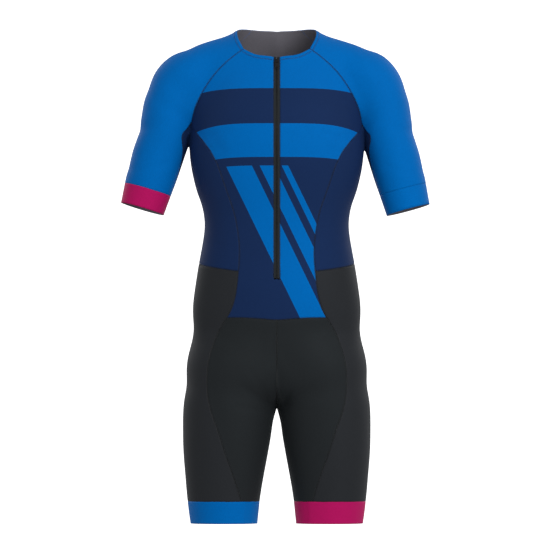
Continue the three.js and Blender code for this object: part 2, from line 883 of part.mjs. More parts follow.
  // Lines that run round the body and the leg.
  const bodiceEnd = line(
    [
      endOf(zipEdge).p,
      ...BODICE_END.map(pinFront),
      endOf(hipFront).p,
    ],
    CELLS.frontWidth,
    endOf(zipEdge),
    endOf(hipFront),
  );
  const hipSide = line(
    [
      endOf(bodyFront).p,
      ...HIP_SEAM_SIDE.map((point) => figure.snap(place(point))),
      endOf(bodyBack).p,
    ],
    CELLS.sideAround,
    endOf(bodyFront),
    endOf(bodyBack),
  );
  const backWaist = line(
    [endOf(bodyBack).p, pinBack(BACK_WAIST_MIDDLE), endOf(centreBack).p],
    CELLS.backWidth,
    endOf(bodyBack),
    endOf(centreBack),
  );
  const angleOnLeg = (vertex) => {
    const turn = Math.atan2(
      -vertex.p.y,
      vertex.p.x - leg.middle(vertex.p.z),
    );
    return THREE.MathUtils.radToDeg(turn);
  };
  const frontAngle = angleOnLeg(endOf(legFront));
  const backAngle = angleOnLeg(endOf(legBack));
  const roundLeg = (z, from, to, cells) =>
    Array.from({ length: cells + 1 }, (_, i) =>
      vertexAt(onLeg(from + ((to - from) * i) / cells, z), figure),
    );
  const legRing = (z) => {
    const outer = roundLeg(z, frontAngle, backAngle, CELLS.sideAround);
    const front = roundLeg(z, INSIDE_DEGREES, frontAngle, CELLS.frontWidth + 1);
    const back = roundLeg(z, backAngle, -INSIDE_DEGREES, CELLS.backWidth);
    front[front.length - 1] = outer[0];
    back[0] = endOf(outer);
    back[back.length - 1] = front[0];
    return { outer, front, back };
  };
  const legRings = [0, 1, 2].map((row) =>
    legRing(THREE.MathUtils.lerp(LEG_BAND_Z, LEG_HEM_Z, row / CELLS.band)),
  );
  const topRing = legRings[0];
  topRing.outer[0] = endOf(legFront);
  topRing.front[topRing.front.length - 1] = endOf(legFront);
  topRing.outer[CELLS.sideAround] = endOf(legBack);
  topRing.back[0] = endOf(legBack);
  topRing.front[0] = endOf(inseam);
  topRing.back[topRing.back.length - 1] = endOf(inseam);

  // Panels.
  const zipRows = CELLS.raglan + CELLS.bodySide;
  const centreStrip = centreFront.map((vertex, row) => [vertex, zipEdge[row]]);
  const front = stretchPanel({
    top: neckFront,
    bottom: bodiceEnd,
    left: zipEdge,
    right: [...raglanFront, ...bodyFront.slice(1), ...hipFront.slice(1)],
    figure,
  });
  const back = stretchPanel({
    top: neckBack,
    bottom: backWaist,
    left: [...raglanBack, ...bodyBack.slice(1)],
    right: centreBack,
    figure,
  });
  const sleeveBulgeX = column(SLEEVE_BULGE, "share", "x");
  const sleeveBulgeZ = column(SLEEVE_BULGE, "share", "z");
  const sleeve = stretchPanel({
    top: neckSide,
    bottom: cuffs[0].outer,
    left: [...raglanFront, ...underFront.slice(1)],
    right: [...raglanBack, ...underBack.slice(1)],
    figure,
    bulge: (v) => new THREE.Vector3(sleeveBulgeX(v), 0, sleeveBulgeZ(v)),
  });
  const underSleeve = stretchPanel({
    top: cuffs[0].under,
    bottom: armpit,
    left: [...underFront].reverse(),
    right: [...underBack].reverse(),
    figure,
  });
  const bodySide = stretchPanel({
    top: armpit,
    bottom: hipSide,
    left: bodyFront,
    right: bodyBack,
    figure,
  });
  const outerBulge = (v) =>
    THREE.MathUtils.lerp(OUTER_LEG_BULGE.top, OUTER_LEG_BULGE.bottom, v);
  const outerLeg = stretchPanel({
    top: hipSide,
    bottom: topRing.outer,
    left: [...hipFront, ...legFront.slice(1)],
    right: legBack,
    figure,
    bulge: (v) => new THREE.Vector3(outerBulge(v), 0, 0),
  });
  const frontLeg = stretchPanel({
    top: [endOf(centreFront), ...bodiceEnd],
    bottom: topRing.front,
    left: [...riseFront, ...inseam.slice(1)],
    right: legFront,
    figure,
  });
  const backLeg = stretchPanel({
    top: backWaist,
    bottom: topRing.back,
    left: legBack,
    right: [...riseBack, ...inseam.slice(1)],
    figure,
  });
  const quads = {
    zip: quadsOf(centreStrip, 0, zipRows),
    front: [...quadsOf(centreStrip, zipRows), ...quadsOf(front)],
    back: quadsOf(back),
    sleeve: quadsOf(sleeve),
    side: [...quadsOf(underSleeve), ...quadsOf(bodySide)],
    outerLeg: quadsOf(outerLeg),
    frontLeg: quadsOf(frontLeg),
    backLeg: quadsOf(backLeg),
    cuff: [
      ...quadsOf(cuffs.map((ring) => ring.outer)),
      ...quadsOf(cuffs.map((ring) => [...ring.under].reverse())),
    ],
    legBand: [
      ...quadsOf(legRings.map((ring) => ring.outer)),
      ...quadsOf(legRings.map((ring) => ring.front)),
      ...quadsOf(legRings.map((ring) => ring.back)),
    ],
  };
  const halves = Object.entries(quads).map(([key, list]) => [
    key,
    mirrored(list, side.mirror),
  ]);
  return { ...Object.fromEntries(halves), zipCentre: centreFront };
}

// Solids for joining and cutting.
function solidOf(geometry) {
  const bare = new THREE.BufferGeometry();
  const flat = geometry.index ? geometry.toNonIndexed() : geometry;
  bare.setAttribute("position", flat.getAttribute("position"));
  const merged = mergeVertices(bare, 1e-4);
  return new wasm.Manifold(
    new wasm.Mesh({
      numProp: 3,
      vertProperties: merged.attributes.position.array,
      triVerts: new Uint32Array(merged.index.array),
    }),
  );
}
function geometryOf(solid) {
  const mesh = solid.getMesh();
  const geometry = new THREE.BufferGeometry();
  const positions = new THREE.BufferAttribute(mesh.vertProperties, 3);
  geometry.setAttribute("position", positions);
  geometry.setIndex(new THREE.BufferAttribute(mesh.triVerts, 1));
  return geometry;
}

// The place of the slider: on the straight run of zip just below the neckline.
// Its own directions are x across the zip, y up along it and z out of the cloth.
function sliderFrame(centreLine) {
  const [top, below] = centreLine;
  const up = top.p.clone().sub(below.p).normalize();
  const across = new THREE.Vector3(1, 0, 0);
  const out = new THREE.Vector3().crossVectors(across, up);
  const origin = top.p.clone().addScaledVector(up, -SLIDER.below);
  return new THREE.Matrix4()
    .makeBasis(across, up, out)
    .setPosition(origin);
}

function box(width, length, height, y, z) {
  const geometry = new THREE.BoxGeometry(width, length, height);
  return geometry.translate(0, y, z + height / 2);
}

// A plate with a wide upper end, where the two tapes part, and a narrow lower end.
function sliderPlate(bottomZ) {
  const half = SLIDER.length / 2;
  const shape = new THREE.Shape();
  shape.moveTo(-SLIDER.narrow / 2, -half);
  shape.lineTo(SLIDER.narrow / 2, -half);
  shape.lineTo(SLIDER.narrow / 2, -half / 3);
  shape.lineTo(SLIDER.wide / 2, half / 3);
  shape.absarc(
    SLIDER.wide / 2 - SLIDER.corner,
    half - SLIDER.corner,
    SLIDER.corner,
    0,
    Math.PI / 2,
    false,
  );
  shape.absarc(
    -SLIDER.wide / 2 + SLIDER.corner,
    half - SLIDER.corner,
    SLIDER.corner,
    Math.PI / 2,
    Math.PI,
    false,
  );
  shape.lineTo(-SLIDER.wide / 2, half / 3);
  shape.lineTo(-SLIDER.narrow / 2, -half / 3);
  const geometry = new THREE.ExtrudeGeometry(shape, {
    depth: SLIDER.plate,
    bevelEnabled: false,
    curveSegments: 4,
  });
  return geometry.translate(0, 0, bottomZ);
}

// The arch that holds the pull tab, standing along the zip.
function sliderArch() {
  const half = ARCH.length / 2;
  const inner = half - ARCH.bar;
  const shape = new THREE.Shape();
  shape.moveTo(half, -SLIDER.plate / 2);
  shape.lineTo(half, ARCH.height - ARCH.round);
  shape.absarc(
    half - ARCH.round,
    ARCH.height - ARCH.round,
    ARCH.round,
    0,
    Math.PI / 2,
    false,
  );
  shape.absarc(
    -half + ARCH.round,
    ARCH.height - ARCH.round,
    ARCH.round,
    Math.PI / 2,
    Math.PI,
    false,
  );
  shape.lineTo(-half, -SLIDER.plate / 2);
  shape.lineTo(-inner, -SLIDER.plate / 2);
  shape.lineTo(-inner, ARCH.height - ARCH.bar);
  shape.lineTo(inner, ARCH.height - ARCH.bar);
  shape.lineTo(inner, -SLIDER.plate / 2);
  const geometry = new THREE.ExtrudeGeometry(shape, {
    depth: ARCH.width,
    bevelEnabled: false,
    curveSegments: 5,
  });
  geometry.translate(0, 0, -ARCH.width / 2);
  geometry.rotateX(Math.PI / 2);
  geometry.rotateZ(Math.PI / 2);
  return geometry.translate(0, 0, SLIDER.clearOut + SLIDER.plate);
}

function sliderBody() {
  const innerZ = -CLOTH - SLIDER.clearIn - SLIDER.plate;
  const post = box(
    SLIDER.post,
    SLIDER.postLength,
    SLIDER.clearOut - innerZ,
    SLIDER.length / 2 - SLIDER.postLength,
    innerZ + SLIDER.plate / 2,
  );
  const solid = solidOf(sliderPlate(SLIDER.clearOut))
    .add(solidOf(sliderPlate(innerZ)))
    .add(solidOf(post))
    .add(solidOf(sliderArch()));
  return geometryOf(solid);
}

// The gap between the two tapes above and round the slider's post.
function tapeNotch() {
  const length = SLIDER.below + SLIDER.length;
  const bottomY =
    SLIDER.length / 2 - 1.5 * SLIDER.postLength - SLIDER.clearOut;
  return box(
    SLIDER.post + 2 * SLIDER.clearOut,
    length,
    4 * CLOTH,
    bottomY + length / 2,
    -3 * CLOTH,
  );
}

// The pull tab lies down the zip, and its upper bar turns under the arch.
function pullTab() {
  const half = TAB.width / 2;
  const end = -TAB.length + half;
  const shape = new THREE.Shape();
  shape.moveTo(half, TAB.bar / 2);
  shape.lineTo(-half, TAB.bar / 2);
  shape.lineTo(-half, end);
  shape.absarc(0, end, half, Math.PI, 2 * Math.PI, false);
  const opening = new THREE.Path();
  const side = ARCH.width / 2 + TAB.clear;
  opening.moveTo(-side, -TAB.bar / 2);
  opening.lineTo(side, -TAB.bar / 2);
  opening.lineTo(side, -TAB.opening);
  opening.lineTo(-side, -TAB.opening);
  const grip = new THREE.Path();
  grip.absarc(0, end, TAB.gripHole / 2, 0, 2 * Math.PI, true);
  shape.holes.push(opening, grip);
  const geometry = new THREE.ExtrudeGeometry(shape, {
    depth: TAB.thick,
    bevelEnabled: false,
    curveSegments: 8,
  });
  return geometry.translate(0, 0, -TAB.thick / 2);
}

const COLOURS = {
  blue: 0x0566b8,
  navy: 0x1b3157,
  black: 0x26292b,
  charcoal: 0x303234,
  magenta: 0xb0165e,
  tape: 0x272a2c,
  metal: 0x1e1f21,
};

function clothMaterial(colour) {
  return new THREE.MeshStandardMaterial({
    color: COLOURS[colour],
    roughness: 0.75,
    metalness: 0,
  });
}

const suit = new THREE.Group();

function addPiece(name, geometry, material) {
  const mesh = new THREE.Mesh(geometry, material);
  mesh.name = name;
  suit.add(mesh);
}
function addCloth(name, quads, colour) {
  addPiece(name, wallGeometry(quads), clothMaterial(colour));
}

const [right, left] = SIDES.map(layOut);
const place = sliderFrame(left.zipCentre);
const notch = solidOf(tapeNotch().applyMatrix4(place));

addCloth("front_body", [...right.front, ...left.front], "navy");
addCloth("back_body", [...right.back, ...left.back], "navy");
for (const [name, half, cuffColour, bandColour] of [
  ["right", right, "magenta", "blue"],
  ["left", left, "blue", "magenta"],
]) {
  addCloth(`sleeve_${name}`, half.sleeve, "blue");
  addCloth(`side_underarm_${name}`, half.side, "navy");
  addCloth(`cuff_${name}`, half.cuff, cuffColour);
  addCloth(`outer_leg_${name}`, half.outerLeg, "charcoal");
  addCloth(`front_leg_${name}`, half.frontLeg, "black");
  addCloth(`back_leg_${name}`, half.backLeg, "black");
  addCloth(`leg_band_${name}`, half.legBand, bandColour);
  const tape = solidOf(wallGeometry(half.zip)).subtract(notch);
  addPiece(`zip_tape_${name}`, geometryOf(tape), clothMaterial("tape"));
}

const metal = new THREE.MeshStandardMaterial({
  color: COLOURS.metal,
  roughness: 0.45,
  metalness: 0.6,
});
addPiece("zip_slider", sliderBody().applyMatrix4(place), metal);
const hinge = new THREE.Matrix4().makeTranslation(0, 0, TAB_HINGE_Z);
addPiece("pull_tab", pullTab().applyMatrix4(hinge).applyMatrix4(place), metal);

export default suit;
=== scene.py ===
"""A short-sleeved one-piece racing suit with a front zip, hollow as it is when worn.

Every panel of cloth is refined from the outer face of its solid in the frame. The seams, the
stitching, the chain of the zip and the blocks of colour are laid on those fine panels.
"""

import math

import bmesh
import bpy
import numpy as np
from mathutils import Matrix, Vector
from mathutils.bvhtree import BVHTree
from mathutils.kdtree import KDTree


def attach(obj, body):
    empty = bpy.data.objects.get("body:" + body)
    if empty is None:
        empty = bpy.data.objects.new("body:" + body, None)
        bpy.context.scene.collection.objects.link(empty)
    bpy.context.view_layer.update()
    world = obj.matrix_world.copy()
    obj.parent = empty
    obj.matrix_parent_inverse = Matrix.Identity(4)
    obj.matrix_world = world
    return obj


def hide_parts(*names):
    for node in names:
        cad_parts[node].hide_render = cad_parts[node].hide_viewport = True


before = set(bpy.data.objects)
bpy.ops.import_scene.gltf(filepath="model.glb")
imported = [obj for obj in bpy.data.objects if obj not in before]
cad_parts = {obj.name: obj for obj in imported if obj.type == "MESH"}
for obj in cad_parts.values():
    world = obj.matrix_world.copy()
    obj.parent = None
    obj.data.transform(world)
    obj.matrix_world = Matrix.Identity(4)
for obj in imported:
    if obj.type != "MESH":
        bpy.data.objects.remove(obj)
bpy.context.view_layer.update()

MM = 0.001

# Cloth, in metres: the wall of the solids, the wall shown here, how near two points are one, and
# the longest edge that spans the wall of a solid where it is cut.
SOLID_WALL = 1.5 * MM
CLOTH = 1.1 * MM
WELD = 0.02 * MM
WALL_EDGE = 1.13 * SOLID_WALL

# Refining: how often each face is halved, and the rounds that fit it to the coarse points.
REFINE_LEVELS = 3
FIT_ROUNDS = 4

# Seams, in metres: how near sewn edges lie, how far each is moved out to meet the other, and how
# deep and wide the dip beside them is.
SEAM_REACH = 1.2 * MM
SEAM_MEET = 0.25 * MM
SEAM_DIP = 0.65 * MM
SEAM_DIP_WIDTH = 3.2 * MM

# Panels whose seams have no stitches outside, and how deep those seams are beside the others.
FLAT_SEAMS = {"cuff": 0.25, "leg_band": 0.4}

# Hems, in metres: where the neck's edge is, how high and wide its turned hem is, and how far the
# cuffs reach below the edges of their solids.
NECK_EDGE_FROM_Z = -0.060
HEM_RAISE = 0.35 * MM
HEM_WIDTH = 7.0 * MM
CUFF_LONGER = {"cuff_right": 0.8 * MM, "cuff_left": 3.0 * MM}

# Stitches, in metres: the size of one, how far apart they are, and how far inside an edge their
# rows lie. A stitch is at its widest over this share of its length, to each side of its middle.
STITCH_LENGTH = 2.7 * MM
STITCH_WIDTH = 1.1 * MM
STITCH_HEIGHT = 0.3 * MM
STITCH_PITCH = 3.0 * MM
STITCH_WIDEST = 0.28
SEAM_ROW = 1.05 * MM
NECK_ROWS = (5.2 * MM, 6.8 * MM)

# The chain of the zip, in metres. Half sizes are across, along and outwards.
CHAIN_TOP_Z = -0.0635
CHAIN_END_Z = -0.4605
TOOTH_PITCH = 1.6 * MM
TOOTH_OFFSET = 0.75 * MM
TOOTH_HALF = (1.1 * MM, 0.42 * MM, 0.45 * MM)
STOP_HALF = (2.1 * MM, 1.5 * MM, 0.6 * MM)

# Shares of those sizes: where a block starts to slope in, how large its top is, and how far each
# of the stop's two bars lies from the middle and reaches along.
SLOPE_FROM = 0.2
TOOTH_TOP = 0.72
STOP_TOP = 0.8
STOP_BAR_AT = 0.55
STOP_BAR_HALF = 0.5

# The front's edges beside the zip, and the tapes between them, in metres: how far a tape reaches
# from the centre plane, how deep it lies, and the notch that the slider holds open at its top.
ZIP_EDGE_REACH = 7 * MM
ZIP_END_Z = -0.4655
TAPE_ROWS = 240
TAPE_COLUMNS = 4
TAPE_OUTER = 5.6 * MM
TAPE_INNER = 0.15 * MM
TAPE_SUNK = 0.6 * MM
NOTCH_END_Z = -0.0600
NOTCH_SLOPE = 3.5 * MM
NOTCH_HALF = 1.3 * MM

# Soft creases, in millimetres, which press the cloth in or, where the depth is above 0, lift it.
# Both halves have them, and those on the left are shifted and shallower. Each runs between two
# places as seen from the front, from the back or from the arm's outer side, where "across" is y.
# A rim lies on the outline as seen from the front, and flattens the shoulder.
# Columns: view, start across, start z, end across, end z, half width, depth.
FOLDS = (
    ("rim", 172, -37, 238, -102, 28, -5.6),
    ("arm", -50, -182, 50, -190, 15, -2.4),
    ("arm", -40, -222, 40, -226, 22, 2.4),
    ("arm", -40, -262, 30, -256, 12, -1.0),
    ("front", 124, -196, 106, -226, 14, -1.6),
    ("front", 166, -168, 222, -132, 15, -1.6),
    ("front", 138, -205, 90, -188, 7, -1.2),
    ("front", 142, -224, 100, -222, 8, -0.9),
    ("front", 152, -190, 182, -158, 7, -1.0),
    ("front", 206, -250, 240, -262, 9, -0.8),
    ("front", 150, -395, 104, -402, 10, -0.9),
    ("front", 128, -560, 80, -590, 11, -0.9),
    ("front", 16, -702, 64, -668, 8, -1.4),
    ("front", 16, -716, 70, -706, 8, -1.0),
    ("front", 18, -684, 48, -640, 7, -0.9),
    ("back", 132, -200, 84, -176, 8, -1.2),
    ("back", 150, -196, 184, -164, 8, -1.0),
    ("back", 206, -246, 236, -262, 9, -0.9),
    ("back", 30, -300, 100, -322, 14, -0.8),
    ("back", 4, -392, 84, -398, 12, -1.3),
    ("back", 6, -416, 96, -424, 12, -1.0),
    ("back", 40, -742, 120, -728, 9, -1.4),
    ("back", 14, -702, 50, -668, 8, -1.1),
    ("back", 60, -830, 120, -820, 10, -0.8),
)
LEFT_SHIFT = -4
LEFT_SHARE = 0.85

# Where the arm starts, in metres, the share of depth that a crease loses along its way, and the
# swell beside it as a share of its depth.
ARM_FROM_X = 0.190
FOLD_TAPER = 0.5
FOLD_SWELL = 0.8

# Colours as they read in soft light, 0 to 255.
COLOURS = {
    "blue": (0, 107, 189),
    "navy": (25, 45, 84),
    "black": (32, 35, 37),
    "charcoal": (38, 40, 43),
    "magenta": (190, 24, 100),
    "inside": (118, 116, 124),
    "tape": (40, 43, 45),
    "metal": (32, 33, 35),
    "chain": (34, 36, 38),
    "thread_blue": (5, 66, 122),
    "thread_navy": (10, 22, 40),
    "thread_black": (24, 26, 28),
}

# Surface of the cloth: loops and ribs in metres, patches a metre. Shades are shares of a colour,
# from a patch's darkest to its lightest place, and from a loop's middle, lit by painted light, to
# its edge, darkened by painted shade where the loops meet. The tint is how much of the cloth's
# own hue its gloss has. A relief is its strength and its depth in metres.
KNIT_LOOP = 0.9 * MM
RIBBED_LOOP = 0.7 * MM
BAND_RIB = 1.1 * MM
TAPE_RIB = 0.6 * MM
PATCHES = {"Scale": 9, "Detail": 5}
PATCH_SHADES = (0.93, 1.07)
PATCH_GLOSS = (-0.06, 0.08)
# Painted light on a loop's middle and painted shade at its edge, where the loops meet.
LOOP_PAINTED_SHADE = (1.08, 0.80)
LOOP_EDGE = 0.7
TINT_SHARE = 0.9
KNIT_RELIEF = (0.3, 0.25 * MM)
RIB_RELIEF = (0.5, 0.2 * MM)
RIB_WAVER = 0.3

# Surface of metal and thread: grains a metre, the metal's roughness and relief, and the shades
# of a thread.
WEAR = {"Scale": 700, "Detail": 4}
WEAR_GLOSS = (0.28, 0.5)
WEAR_RELIEF = (0.15, 0.05 * MM)
METALLIC = 0.7
TWIST = {"Scale": 1500}
THREAD_SHADES = (0.8, 1.2)

# Blocks of colour on the body. Each line lies at a level and drops towards the sides, in metres.
BODY_COLOURS = ("blue", "navy")
YOKE_LINE = (-0.109, 0.011)
BAND_LINE = (-0.175, 0.016)
LOWER_LINE = (-0.238, 0.014)
LINE_REACH = 0.150
LINE_POWER = 4

# A new edge of a line of colour keeps at least this share of the old edge away from its ends.
CUT_MARGIN = 0.02

# Slanting stripes below the bands: the place that they are measured from, their slant, the gap
# between the lower line and their tops, how far above it their edges are still cut, and where
# each stripe begins and ends across the slant.
STRIPE_TOP = Vector((-0.030, 0, -0.256))
STRIPE_DEGREES = 64
STRIPE_GAP = 0.016
STRIPE_CUT_ABOVE = 0.004
STRIPES = ((-0.058, -0.014), (-0.001, 0.023), (0.036, 0.047))

# Studio, in metres and watts. The floor curves up into a wall all round.
FLOOR_Z = -1.25
FLOOR_RADIUS = 22
FLOOR_CURVE = 4
FLOOR_RISE = 16
FLOOR_BENDS = 12
FLOOR_SPOKES = 64
FLOOR_COLOUR = (0.86, 0.86, 0.87, 1)
FLOOR_GLOW = 1.0
WORLD_LIGHT = 0.5
LOOK_AT = (0, 0, -0.45)

# Columns: name, place, size, power.
LIGHTS = (
    ("key", (2.4, -4.2, 1.6), (2.6, 2.6), 150),
    ("fill", (-2.8, -4.0, 0.2), (2.6, 2.6), 16),
    ("behind_left", (-2.5, 3.2, 1.2), (2.0, 2.0), 34),
    ("behind_right", (2.5, 3.2, 1.2), (2.0, 2.0), 26),
)

# The camera stands far off, in metres, with a long lens, in millimetres.
CAMERA_AT = (-0.0023, -20.0, -0.4597)
CAMERA_REACH = 100
CAMERA_SENSOR = 36
CAMERA_LENS = 695

WHITE = (1, 1, 1, 1)


def srgb(value):
    """A colour given from 0 to 255 as Blender's linear numbers."""
    share = [v / 255 for v in value]
    return [s / 12.92 if s <= 0.04045 else ((s + 0.055) / 1.055) ** 2.4 for s in share]


def new_material(name):
    """An empty material and its shader."""
    material = bpy.data.materials.new(name)
    material.use_nodes = True
    nodes = material.node_tree.nodes
    nodes.clear()
    output = nodes.new("ShaderNodeOutputMaterial")
    shader = nodes.new("ShaderNodeBsdfPrincipled")
    material.node_tree.links.new(shader.outputs["BSDF"], output.inputs["Surface"])
    return material, shader


def set_inputs(node, values):
    for name, value in values.items():
        node.inputs[name].default_value = value


def add_node(material, kind, values, **settings):
    """A new node with its settings and the values of its inputs."""
    node = material.node_tree.nodes.new(kind)
    for name, value in settings.items():
        setattr(node, name, value)
    set_inputs(node, values)
    return node


def texture(material, kind, values, **settings):
    """A texture that lies on an object by its own coordinates, in metres."""
    node = add_node(material, kind, values, **settings)
    place = add_node(material, "ShaderNodeTexCoord", {})
    material.node_tree.links.new(place.outputs["Object"], node.inputs["Vector"])
    return node


def mixed_shades(material, share, colour, shades):
    """A colour that goes from one of its shades to another with a texture."""
    low, high = ([min(c * shade, 1) for c in srgb(colour)] + [1] for shade in shades)
    mix = add_node(material, "ShaderNodeMix", {}, data_type="RGBA")
    set_inputs(mix, {"A": low, "B": high})
    material.node_tree.links.new(share, mix.inputs["Factor"])
    return mix.outputs["Result"]


def spread(material, value, low, high, full=1):
    """A texture's value from 0 to full as one from low to high."""
    node = add_node(
        material, "ShaderNodeMapRange", {"From Max": full, "To Min": low, "To Max": high}
    )
    material.node_tree.links.new(value, node.inputs["Value"])
    return node.outputs["Result"]


def add_relief(material, shader, height, relief, invert=False):
    """Fine relief from a texture, of a given strength and depth."""
    strength, depth = relief
    values = {"Strength": strength, "Distance": depth}
    bump = add_node(material, "ShaderNodeBump", values, invert=invert)
    material.node_tree.links.new(height, bump.inputs["Height"])
    material.node_tree.links.new(bump.outputs["Normal"], shader.inputs["Normal"])


def soft_cloth(name, colour, loop, roughness, sheen):
    """Cloth without relief: uneven in colour and gloss, with painted shade between its loops."""
    material, shader = new_material(name)
    links = material.node_tree.links
    patches = texture(material, "ShaderNodeTexNoise", PATCHES).outputs["Fac"]
    loops = texture(material, "ShaderNodeTexVoronoi", {"Scale": 1 / loop}).outputs["Distance"]

    tint = add_node(
        material, "ShaderNodeMix", {"Factor": 1}, data_type="RGBA", blend_type="MULTIPLY"
    )
    links.new(mixed_shades(material, patches, colour, PATCH_SHADES), tint.inputs["A"])
    # Painted shade: the colour darkens from each loop's middle to its edge, where the loops meet.
    links.new(spread(material, loops, *LOOP_PAINTED_SHADE, full=LOOP_EDGE), tint.inputs["B"])
    links.new(tint.outputs["Result"], shader.inputs["Base Color"])
    smoother, rougher = PATCH_GLOSS
    gloss = spread(material, patches, roughness + smoother, roughness + rougher)
    links.new(gloss, shader.inputs["Roughness"])

    base = srgb(colour)
    hue = [TINT_SHARE * c / max(base) + 1 - TINT_SHARE for c in base] + [1]
    lustre = {
        "Sheen Weight": sheen,
        "Sheen Roughness": 0.5,
        "Sheen Tint": hue,
        "Specular IOR Level": 0.15,
        "Specular Tint": hue,
    }
    set_inputs(shader, lustre)
    return material, shader, loops


def knit_material(name, colour, roughness=0.62, sheen=0.03):
    """Fine stretch knit with its small loops in relief."""
    material, shader, loops = soft_cloth(name, colour, KNIT_LOOP, roughness, sheen)
    add_relief(material, shader, loops, KNIT_RELIEF, invert=True)
    return material


def ribbed_material(name, colour, rib, roughness=0.6, sheen=0.05):
    """Woven or elastic tape with fine level ribs."""
    material, shader, _ = soft_cloth(name, colour, RIBBED_LOOP, roughness, sheen)
    wave_at_scale_1 = math.pi / 10
    values = {"Scale": wave_at_scale_1 / rib, "Distortion": RIB_WAVER}
    ribs = texture(material, "ShaderNodeTexWave", values, bands_direction="Z")
    add_relief(material, shader, ribs.outputs["Fac"], RIB_RELIEF)
    return material


def metal_material(name, colour):
    """Dark lacquered metal, a little worn and uneven in gloss."""
    material, shader = new_material(name)
    wear = texture(material, "ShaderNodeTexNoise", WEAR).outputs["Fac"]
    gloss = spread(material, wear, *WEAR_GLOSS)
    material.node_tree.links.new(gloss, shader.inputs["Roughness"])
    add_relief(material, shader, wear, WEAR_RELIEF)
    set_inputs(shader, {"Base Color": [*srgb(colour), 1], "Metallic": METALLIC})
    return material


def thread_material(name, colour):
    """Twisted polyester thread with a soft gloss."""
    material, shader = new_material(name)
    twist = texture(material, "ShaderNodeTexNoise", TWIST).outputs["Fac"]
    shade = mixed_shades(material, twist, colour, THREAD_SHADES)
    material.node_tree.links.new(shade, shader.inputs["Base Color"])
    set_inputs(shader, {"Roughness": 0.5})
    return material


materials = {
    "blue": knit_material("knit_blue", COLOURS["blue"]),
    "navy": knit_material("knit_navy", COLOURS["navy"]),
    "black": knit_material("knit_black", COLOURS["black"], roughness=0.66),
    "charcoal": knit_material("knit_charcoal", COLOURS["charcoal"], roughness=0.6),
    "inside": knit_material("knit_inside", COLOURS["inside"], roughness=0.85, sheen=0.2),
    "band_blue": ribbed_material("band_blue", COLOURS["blue"], BAND_RIB),
    "band_magenta": ribbed_material("band_magenta", COLOURS["magenta"], BAND_RIB),
    "tape": ribbed_material("zip_tape", COLOURS["tape"], TAPE_RIB, roughness=0.75),
    "metal": metal_material("zip_metal", COLOURS["metal"]),
    "chain": metal_material("zip_chain", COLOURS["chain"]),
}
for thread in ("thread_blue", "thread_navy", "thread_black"):
    materials[thread] = thread_material(thread, COLOURS[thread])


def connected(faces):
    """The groups of faces that hang together."""
    seen, groups = set(), []
    for first in faces:
        if first in seen:
            continue
        seen.add(first)
        stack, group = [first], []
        while stack:
            face = stack.pop()
            group.append(face)
            for edge in face.edges:
                for other in edge.link_faces:
                    if other not in seen:
                        seen.add(other)
                        stack.append(other)
        groups.append(group)
    return groups


def squareness(edge):
    """How nearly the two triangles beside an edge form a rectangle, 1 for a perfect one."""
    ends = edge.verts
    tips = [v for f in edge.link_faces for v in f.verts if v not in ends]
    ring = [ends[0], tips[0], ends[1], tips[1]]
    worst = 1.0
    for i, vertex in enumerate(ring):
        a = (ring[i - 1].co - vertex.co).normalized()
        b = (ring[(i + 1) % 4].co - vertex.co).normalized()
        worst = min(worst, 1 - abs(a.dot(b)))
    return worst


def pair_triangles(bm):
    """Joins the triangles of a regular grid back into its quads.

    A triangle that has one partner left comes first, and then the pair that is most square.
    """
    score = {e: squareness(e) for e in bm.edges if len(e.link_faces) == 2}
    free = set(bm.faces)
    dissolve = []

    def options(face):
        return [e for e in face.edges if e in score and free.issuperset(e.link_faces)]

    while free:
        single = next((f for f in bm.faces if f in free and len(options(f)) == 1), None)
        if single:
            edge = options(single)[0]
        else:
            ready = {e for f in free for e in options(f)}
            if not ready:
                break
            edge = max(ready, key=lambda e: (score[e], e.index))
        dissolve.append(edge)
        free.difference_update(edge.link_faces)
    bmesh.ops.dissolve_edges(bm, edges=dissolve, use_verts=False)


def outer_skin(node):
    """The outer face of a wall of cloth in the frame, as a grid of quads."""
    bm = bmesh.new()
    bm.from_mesh(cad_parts[node].data)
    bmesh.ops.remove_doubles(bm, verts=bm.verts, dist=WELD)
    edging = [f for f in bm.faces if min(e.calc_length() for e in f.edges) < WALL_EDGE]
    bmesh.ops.delete(bm, geom=edging, context="FACES_ONLY")
    skins = connected(list(bm.faces))
    outer = set(max(skins, key=lambda group: sum(f.calc_area() for f in group)))
    rest = [f for f in bm.faces if f not in outer]
    bmesh.ops.delete(bm, geom=rest, context="FACES")
    loose = [v for v in bm.verts if not v.link_faces]
    bmesh.ops.delete(bm, geom=loose, context="VERTS")
    bm.edges.index_update()
    pair_triangles(bm)
    mesh = bpy.data.meshes.new(node)
    bm.to_mesh(mesh)
    bm.free()
    return mesh


def points_of(mesh, what="co"):
    """The places of a mesh's vertices, or with "normal" their normals, a row for each."""
    flat = np.empty(len(mesh.vertices) * 3)
    mesh.vertices.foreach_get(what, flat)
    return flat.reshape(-1, 3)


def set_points(mesh, points):
    mesh.vertices.foreach_set("co", np.asarray(points, dtype=float).ravel())
    mesh.update()


def refined(obj):
    """A copy of an object's mesh with its modifiers applied."""
    graph = bpy.context.evaluated_depsgraph_get()
    return bpy.data.meshes.new_from_object(obj.evaluated_get(graph))


def refine(mesh, name):
    """Subdivides a coarse skin so that the smooth surface still passes through its points."""
    obj = bpy.data.objects.new(name, mesh)
    bpy.context.scene.collection.objects.link(obj)
    smooth = obj.modifiers.new("smooth", "SUBSURF")
    smooth.levels = REFINE_LEVELS
    smooth.render_levels = REFINE_LEVELS
    smooth.boundary_smooth = "PRESERVE_CORNERS"
    smooth.use_limit_surface = False
    target = points_of(mesh)
    for _ in range(FIT_ROUNDS):
        fine = refined(obj)
        landed = points_of(fine)[: len(target)]
        bpy.data.meshes.remove(fine)
        set_points(mesh, points_of(mesh) + (target - landed))
    fine = refined(obj)
    obj.modifiers.clear()
    obj.data = fine
    bpy.data.meshes.remove(mesh)
    return obj


